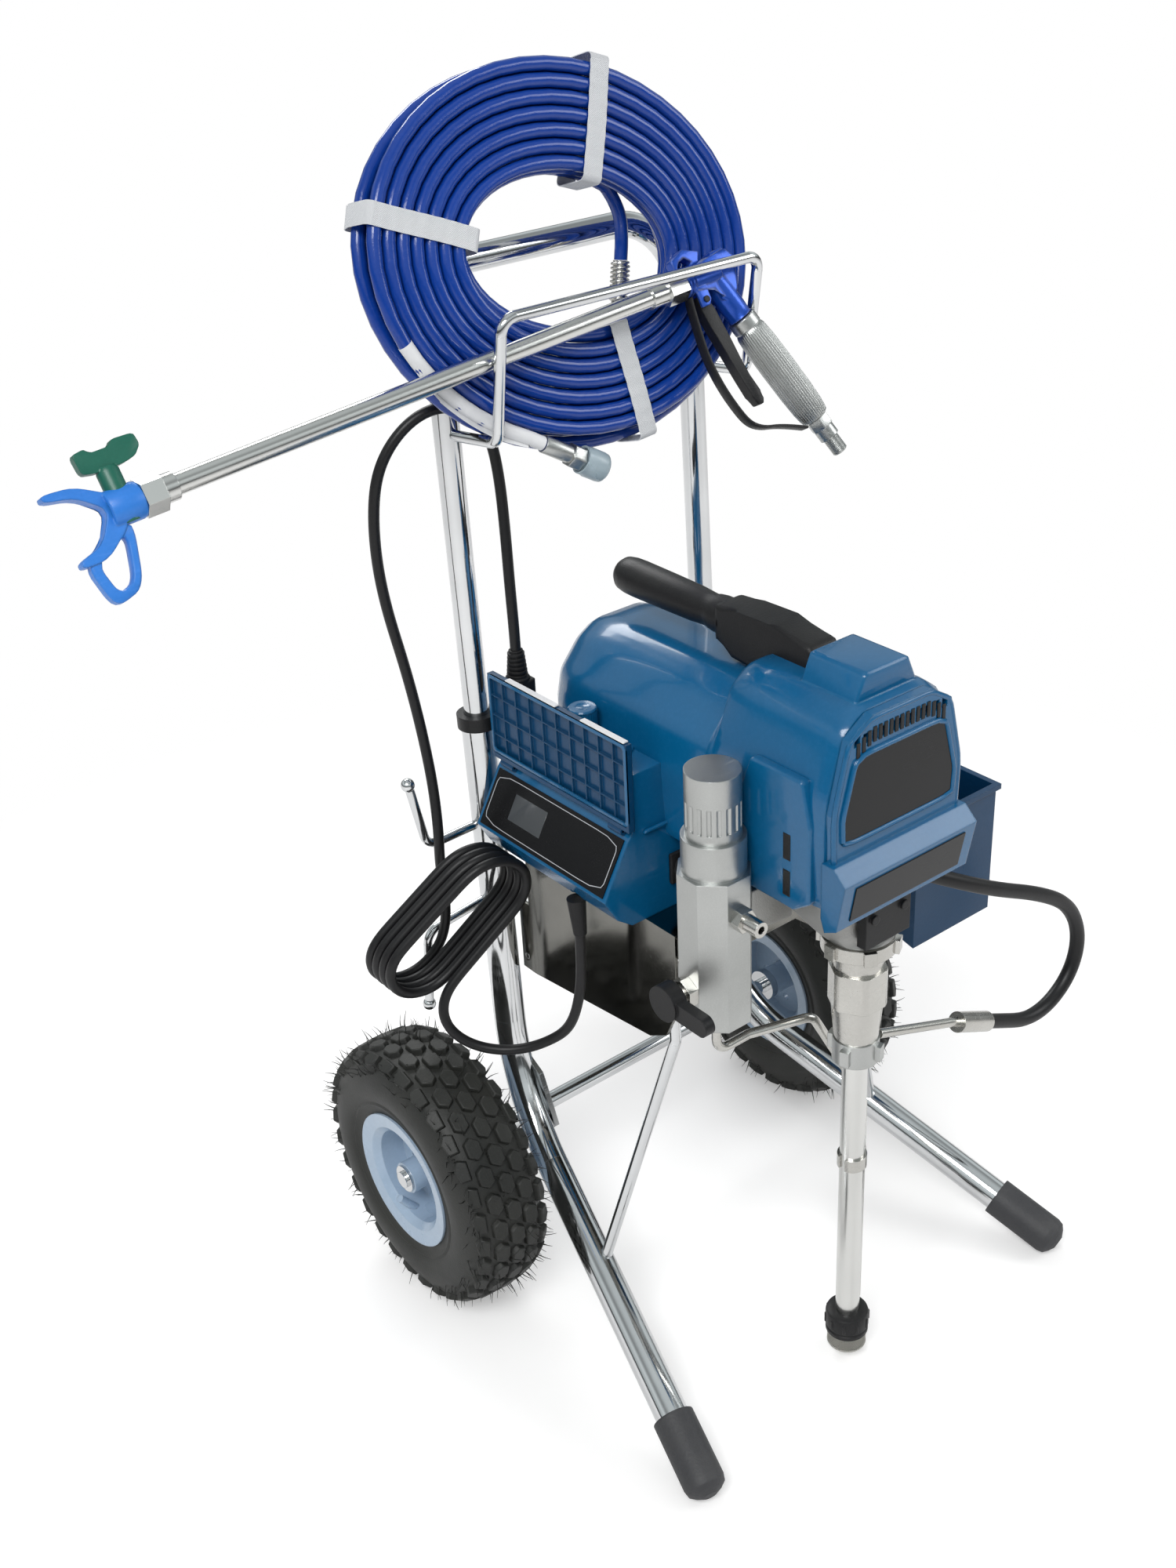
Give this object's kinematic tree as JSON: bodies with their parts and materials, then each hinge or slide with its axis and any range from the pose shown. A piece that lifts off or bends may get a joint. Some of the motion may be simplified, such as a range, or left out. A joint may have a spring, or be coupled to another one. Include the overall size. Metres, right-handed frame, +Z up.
{
  "type": "airless paint sprayer",
  "caption": "Electric airless paint sprayer on a two-wheeled cart with piston pump, filter manifold, hose coil, spray gun with lance, tool bucket and power cord",
  "frame": {"origin": "on the floor, straight below the middle of the axle", "axes": "+X to the right across the cart, -Y to the front where the legs point, +Z up"},
  "size_m": [0.747, 0.502, 1.0601],
  "materials": {
    "chrome": "polished chrome plate",
    "black_rubber": "matte black rubber",
    "tyre": "matte black tyre rubber",
    "rim_paint": "pale grey-blue paint",
    "blue_shell": "glossy blue moulded plastic",
    "dark_blue": "glossy dark blue plastic",
    "black_plastic": "matte black plastic",
    "cast_metal": "cast aluminium, satin",
    "steel": "machined steel",
    "alu": "satin aluminium",
    "copper": "wound copper and steel",
    "filter_mesh": "woven filter screen",
    "hose_blue": "blue hose jacket",
    "tie_white": "white woven band",
    "gun_blue": "blue anodised casting",
    "tip_blue": "light blue plastic",
    "tip_green": "green plastic"
  },
  "bodies": {
    "cart": {"leg_left": "chrome", "leg_right": "chrome", "foot_caps": "black_rubber", "sleeve_collars": "black_plastic", "axle": "chrome", "platform": "chrome", "platform_bolts": "steel", "brace_rods": "chrome", "cord_hooks": "chrome", "motor_shroud": "blue_shell", "front_cover": "blue_shell", "badge_plates": "black_plastic", "carry_handle": "black_plastic", "control_box": "blue_shell", "panel_plate": "black_plastic", "motor_can": "cast_metal", "drive_housing": "cast_metal", "front_guard": "black_plastic", "jam_nut": "steel", "pump_cylinder": "steel", "intake_housing": "steel", "suction_tube": "steel", "strainer": "black_plastic", "drain_tube": "chrome", "fluid_pipe": "chrome", "pump_hose": "black_rubber", "manifold_body": "alu", "manifold_cap": "alu", "manifold_filter": "filter_mesh", "outlet_nipple": "steel", "drain_valve": "steel", "strain_relief": "black_rubber", "cord_to_box": "black_rubber", "cord_hank": "black_rubber", "cord_to_plug": "black_rubber", "power_plug": "black_rubber"},
    "left_wheel": {"tyre_left": "tyre", "rim_left": "rim_paint"},
    "right_wheel": {"tyre_right": "tyre", "rim_right": "rim_paint"},
    "handle": {"handle_tube": "chrome", "hose_cradle": "chrome"},
    "hose": {"hose_coil": "hose_blue", "coil_ties": "tie_white", "hose_end_a": "steel", "hose_end_b": "steel"},
    "gun": {"gun_body": "gun_blue", "gun_grip": "alu", "trigger_guard": "black_plastic", "lance": "alu", "tip_guard": "tip_blue"},
    "trigger": {"trigger": "black_plastic"},
    "tip": {"spray_tip": "tip_green"},
    "lid": {"box_lid": "dark_blue"},
    "knob": {"pressure_knob": "blue_shell"},
    "drain_handle": {"drain_lever": "black_plastic"},
    "bucket": {"tool_bucket": "dark_blue"},
    "rotor": {"motor_rotor": "copper"},
    "crank": {"crank": "steel"},
    "piston": {"piston_rod": "steel"}
  },
  "joints": [
    {"name": "left_wheel_spin", "type": "hinge", "parent": "cart", "child": "left_wheel", "pos_m": [-0.225, 0, 0.13], "axis": [1, 0, 0], "continuous": true},
    {"name": "right_wheel_spin", "type": "hinge", "parent": "cart", "child": "right_wheel", "pos_m": [0.225, 0, 0.13], "axis": [1, 0, 0], "continuous": true},
    {"name": "handle_slide", "type": "slide", "parent": "cart", "child": "handle", "axis": [0, 0.034, 0.9994], "range_m": [-0.03, 0]},
    {"name": "coil_lift", "type": "slide", "parent": "handle", "child": "hose", "axis": [0, 0.2924, 0.9563], "range_m": [0, 0.3]},
    {"name": "gun_lift", "type": "slide", "parent": "handle", "child": "gun", "axis": [-0.4082, 0.4293, 0.8057], "range_m": [0, 0.012]},
    {"name": "trigger_pull", "type": "hinge", "parent": "gun", "child": "trigger", "pos_m": [0.07457, -0.04872, 0.87083], "axis": [0.0454, 0.891, -0.4517], "range_deg": [-9, 0], "stiffness_Nm_per_rad": 0.8, "springref_deg": 11.46},
    {"name": "tip_turn", "type": "hinge", "parent": "gun", "child": "tip", "pos_m": [-0.42782, -0.041, 0.83555], "axis": [-0.0891, 0.454, 0.8865], "range_deg": [0, 180]},
    {"name": "lid_hinge", "type": "hinge", "parent": "cart", "child": "lid", "pos_m": [-0.125, -0.095, 0.52], "axis": [0, 1, 0], "range_deg": [-135, 0]},
    {"name": "pressure_turn", "type": "hinge", "parent": "cart", "child": "knob", "pos_m": [-0.103, -0.1, 0.58], "axis": [0, 0, 1], "range_deg": [0, 270]},
    {"name": "drain_turn", "type": "hinge", "parent": "cart", "child": "drain_handle", "pos_m": [-0.154, -0.264, 0.423], "axis": [1, 0, 0], "range_deg": [-90, 0]},
    {"name": "bucket_lift", "type": "slide", "parent": "cart", "child": "bucket", "axis": [0, 0, 1], "range_m": [0, 0.1]},
    {"name": "crank_spin", "type": "hinge", "parent": "cart", "child": "crank", "pos_m": [-0.014, -0.3, 0.54], "axis": [0, 1, 0], "continuous": true},
    {"name": "rotor_spin", "type": "hinge", "parent": "cart", "child": "rotor", "pos_m": [-0.014, -0.2, 0.578], "axis": [0, 1, 0], "continuous": true},
    {"name": "piston_stroke", "type": "slide", "parent": "cart", "child": "piston", "axis": [0, 0, 1], "range_m": [-0.01, 0.01]}
  ],
  "couplings": [
    {"joint": "rotor_spin", "follows": "crank_spin", "ratio": -3.75}
  ]
}
